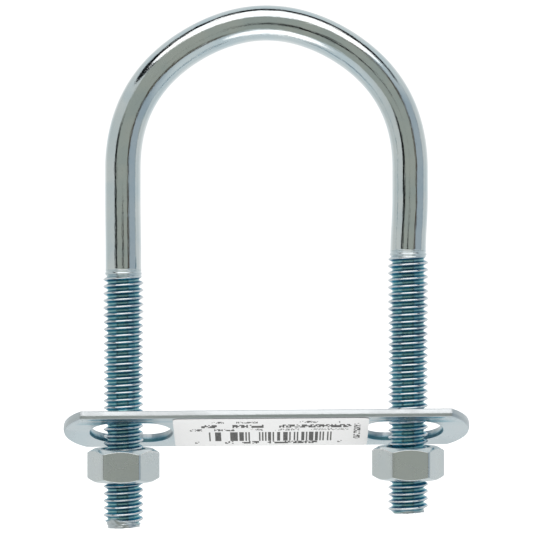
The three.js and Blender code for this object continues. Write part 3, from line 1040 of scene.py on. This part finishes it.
def studio_world():
    """A white room for the eye and for matt surfaces. Bright metal sees the studio's panels: a
    grey wall in front with a brown seam and a black one, a large light overhead with a black
    edge behind it, a smaller light below, and walls to the sides, pale grey and blue-grey."""
    world = bpy.data.worlds.new("studio")
    world.use_nodes = True
    world.node_tree.nodes.clear()
    tree = Tree(world.node_tree)
    direction = tree.node("ShaderNodeTexCoord").outputs["Generated"]
    parts = tree.node("ShaderNodeSeparateXYZ")
    tree.feed(parts.inputs[0], direction)
    x, y, z = parts.outputs
    front = tree.times(y, -1.0)

    # side walls: pale grey on the left, blue-grey on the right up to a dark seam, pale behind
    steep = tree.ramp(tree.math("ABSOLUTE", z), 0.35, 0.75)
    right = tree.mix(tree.ramp(front, 0.02, -0.03), BLUE_WALL, BLUE_WALL_BEHIND)
    walls = tree.mix(tree.ramp(x, -0.05, 0.05), LEFT_WALL, right)
    seam = tree.math("ABSOLUTE", tree.plus(front, 0.01))
    seam = tree.times(tree.ramp(seam, 0.06, 0.015), tree.ramp(x, 0.3, 0.6))
    walls = tree.mix(tree.times(seam, 0.55), walls, DARK_SEAM)
    walls = tree.mix(steep, walls, CEILING_AND_GROUND)
    walls = tree.mix(tree.ramp(front, -0.45, -0.95), walls, BACK_WALL)

    # olive-grey wall in front, with a brown seam on its right and a black one low on its left
    face_x, face_z, in_front = seen_on_plane(tree, front, x, z)
    wall_mask, wall_distance = panel_mask(tree, face_x, face_z, (-0.12, 0.10), (0.95, 1.20), 0.03)
    walls = tree.mix(tree.times(wall_mask, in_front), walls, OLIVE_WALL)
    rim = tree.math("ABSOLUTE", tree.math("SUBTRACT", wall_distance, 0.95))
    brown = tree.times(tree.ramp(rim, 0.19, 0.11), in_front)
    brown = tree.times(brown, tree.ramp(face_x, 0.15, 0.45))
    walls = tree.mix(tree.times(brown, 0.9), walls, BROWN_SEAM)
    black = tree.times(tree.ramp(rim, 0.30, 0.22), in_front)
    black = tree.times(black, tree.ramp(face_x, -0.5, -0.75))
    black = tree.times(black, tree.ramp(tree.math("ABSOLUTE", face_z), 0.40, 0.22))
    walls = tree.mix(black, walls, BLACK_SEAM)

    # light overhead, with a black edge behind it that widens to the left
    over_x, over_y, above = seen_on_plane(tree, z, x, y)
    light, light_distance = panel_mask(tree, over_x, over_y, (0.0, -0.655), (1.0, 0.555), 0.02)
    edge = tree.times(tree.ramp(light_distance, 1.58, 1.52), tree.ramp(over_y, -0.45, -0.30))
    patch, _ = panel_mask(tree, over_x, over_y, (-1.02, -0.48), (0.38, 0.64), 0.05)
    shade = tree.times(tree.math("MAXIMUM", edge, patch), above)
    walls = tree.mix(shade, walls, BLACK_EDGE)
    walls = tree.mix(tree.times(light, above), walls, OVERHEAD_LIGHT)

    # light below
    under_x, under_y, beneath = seen_on_plane(tree, tree.times(z, -1.0), x, y)
    fill, _ = panel_mask(tree, under_x, under_y, (-0.09, -0.47), (0.47, 0.37), 0.04)
    walls = tree.mix(tree.times(fill, beneath), walls, LOWER_LIGHT)

    paths = tree.node("ShaderNodeLightPath")
    seen = tree.mix(paths.outputs["Is Glossy Ray"], WHITE_ROOM, walls)
    background = tree.node("ShaderNodeBackground")
    tree.feed(background.inputs["Color"], seen)
    output = tree.node("ShaderNodeOutputWorld")
    tree.tree.links.new(background.outputs[0], output.inputs[0])
    return world


def stage_sheet(name, points, faces, finish, scale, dark, light):
    """A matt sheet of the stage, in metres, whose grey drifts between two levels."""
    mesh = bpy.data.meshes.new(name)
    mesh.from_pydata(points.tolist(), [], faces.tolist())
    material, tree, shader = new_material(finish, 0.0, 0.9)
    drift = tree.noise(object_coordinates(tree), scale, 2.0)
    grey = tree.mix(drift, (dark, dark, dark, 1), (light, light, light, 1))
    tree.feed(shader.inputs["Base Color"], grey)
    mesh.materials.append(material)
    return new_object(name, mesh), shader


def pale_floor(level):
    """A wide, faintly domed sheet that fades into the white room: z falls with the square of the
    distance from the middle."""
    count = 41
    reach = np.linspace(-FLOOR_REACH, FLOOR_REACH, count)
    x, y = np.meshgrid(reach, reach, indexing="ij")
    z = level - FLOOR_FALL * (x ** 2 + y ** 2)
    points = np.stack([x, y, z], axis=-1).reshape(-1, 3)
    quads = grid_quads(count, count, wrap_columns=False)
    floor, shader = stage_sheet("floor", points, quads, "white paper floor", 60.0, 0.80, 0.84)
    shader.inputs["Emission Color"].default_value = (1, 1, 1, 1)
    shader.inputs["Emission Strength"].default_value = 0.45
    floor.visible_glossy = False


def camera_front(place, half_width):
    """A black oval just behind the camera, facing the object: the ring x = r cos(a),
    z = 1.5 r sin(a). Only mirror-like surfaces see it, as the dark streak along the rod."""
    sides = 32
    angle = 2 * math.pi * np.arange(sides) / sides
    x = place[0] + half_width * np.cos(angle)
    z = place[2] + 1.5 * half_width * np.sin(angle)
    points = np.stack([x, np.full_like(x, place[1]), z], axis=-1)
    face = np.arange(sides)[None, :]
    oval, shader = stage_sheet("camera_front", points, face, "camera black", 40.0, 0.004, 0.010)
    shader.inputs["Specular IOR Level"].default_value = 0.0
    oval.visible_camera = False
    oval.visible_diffuse = False
    oval.visible_shadow = False


# ---------------------------------------------------------------------------
# Operators
# ---------------------------------------------------------------------------

class UBOLT_OT_rod(bpy.types.Operator):
    """Build the bent rod and the rolled threads of both legs"""
    bl_idname = "ubolt.rod"
    bl_label = "Rod and threads"

    def execute(self, context):
        rod = context.scene.ubolt_rod
        finish = context.scene.ubolt_finish
        points, quads, uv = bent_rod(rod)
        material = rod_material(finish)
        add_piece("bent_rod", points, quads, "bolt", "u_bolt", material, uv=uv)
        material = thread_material(finish)
        for side in SIDES:
            points, quads, values = leg_thread(side, rod)
            add_piece(
                side + "_leg_thread", points, quads, "bolt", None, material, values,
            )
        return {"FINISHED"}


class UBOLT_OT_nuts(bpy.types.Operator):
    """Build the two hexagon nuts"""
    bl_idname = "ubolt.nuts"
    bl_label = "Nuts"

    def execute(self, context):
        scene = context.scene
        material = nut_material(scene.ubolt_finish)
        for side in SIDES:
            points, quads, values = nut_skin(side, scene.ubolt_nut, scene.ubolt_rod)
            add_piece(
                "hex_nut_" + side, points, quads, "nut_" + side, side + "_nut",
                material, values, sharp=50,
            )
        return {"FINISHED"}


class UBOLT_OT_plate(bpy.types.Operator):
    """Build the punched strap plate"""
    bl_idname = "ubolt.plate"
    bl_label = "Strap plate"

    def execute(self, context):
        scene = context.scene
        points, faces, values = punched_plate(scene.ubolt_plate)
        material = plate_material(scene.ubolt_finish)
        add_piece(
            "strap_plate", points, np.array(faces, object), "strap", "plate",
            material, values,
        )
        return {"FINISHED"}


class UBOLT_OT_label(bpy.types.Operator):
    """Build the paper label on the plate's lower face"""
    bl_idname = "ubolt.label"
    bl_label = "Paper label"

    def execute(self, context):
        scene = context.scene
        points, quads, uv = paper_label(scene.ubolt_plate, scene.ubolt_label)
        material = label_material(scene.ubolt_label)
        add_piece(
            "paper_label", points, quads, "strap", "label", material,
            uv=uv, sharp=40,
        )
        return {"FINISHED"}


class UBOLT_OT_stage(bpy.types.Operator):
    """Build the floor, the studio light and the camera"""
    bl_idname = "ubolt.stage"
    bl_label = "Stage"

    def execute(self, context):
        scene = context.scene
        stage = scene.ubolt_stage
        pale_floor(float(CAD_BOX[0][2]) - stage.floor_drop)
        scene.world = studio_world()
        camera = bpy.data.cameras.new("camera")
        camera.lens = stage.lens
        camera.clip_start = 0.01
        scene.camera = new_object("camera", camera)
        scene.camera.location = (0.0, -stage.distance, stage.camera_height)
        scene.camera.rotation_euler = (math.pi / 2, 0.0, 0.0)
        camera_front(np.array(scene.camera.location) + FRONT_OFFSET, stage.camera_size)
        scene.view_settings.view_transform = "Standard"
        return {"FINISHED"}


class UBOLT_PT_panel(bpy.types.Panel):
    """Lists the steps that build the U-bolt"""
    bl_idname = "UBOLT_PT_panel"
    bl_label = "U-bolt"
    bl_space_type = "VIEW_3D"
    bl_region_type = "UI"
    bl_category = "U-bolt"

    def draw(self, context):
        for operator in OPERATORS:
            self.layout.operator(operator.bl_idname)


SETTINGS = {
    "ubolt_rod": UBoltRodSettings,
    "ubolt_nut": UBoltNutSettings,
    "ubolt_plate": UBoltPlateSettings,
    "ubolt_label": UBoltLabelSettings,
    "ubolt_finish": UBoltFinishSettings,
    "ubolt_stage": UBoltStageSettings,
}
OPERATORS = (UBOLT_OT_rod, UBOLT_OT_nuts, UBOLT_OT_plate, UBOLT_OT_label, UBOLT_OT_stage)


def register():
    for name, settings in SETTINGS.items():
        bpy.utils.register_class(settings)
        setattr(bpy.types.Scene, name, PointerProperty(type=settings))
    for operator in (*OPERATORS, UBOLT_PT_panel):
        bpy.utils.register_class(operator)


def unregister():
    for operator in reversed((*OPERATORS, UBOLT_PT_panel)):
        bpy.utils.unregister_class(operator)
    for name, settings in SETTINGS.items():
        delattr(bpy.types.Scene, name)
        bpy.utils.unregister_class(settings)


def main():
    register()
    bpy.ops.ubolt.rod()
    bpy.ops.ubolt.nuts()
    bpy.ops.ubolt.plate()
    bpy.ops.ubolt.label()
    bpy.ops.ubolt.stage()


if __name__ == "__main__":
    main()
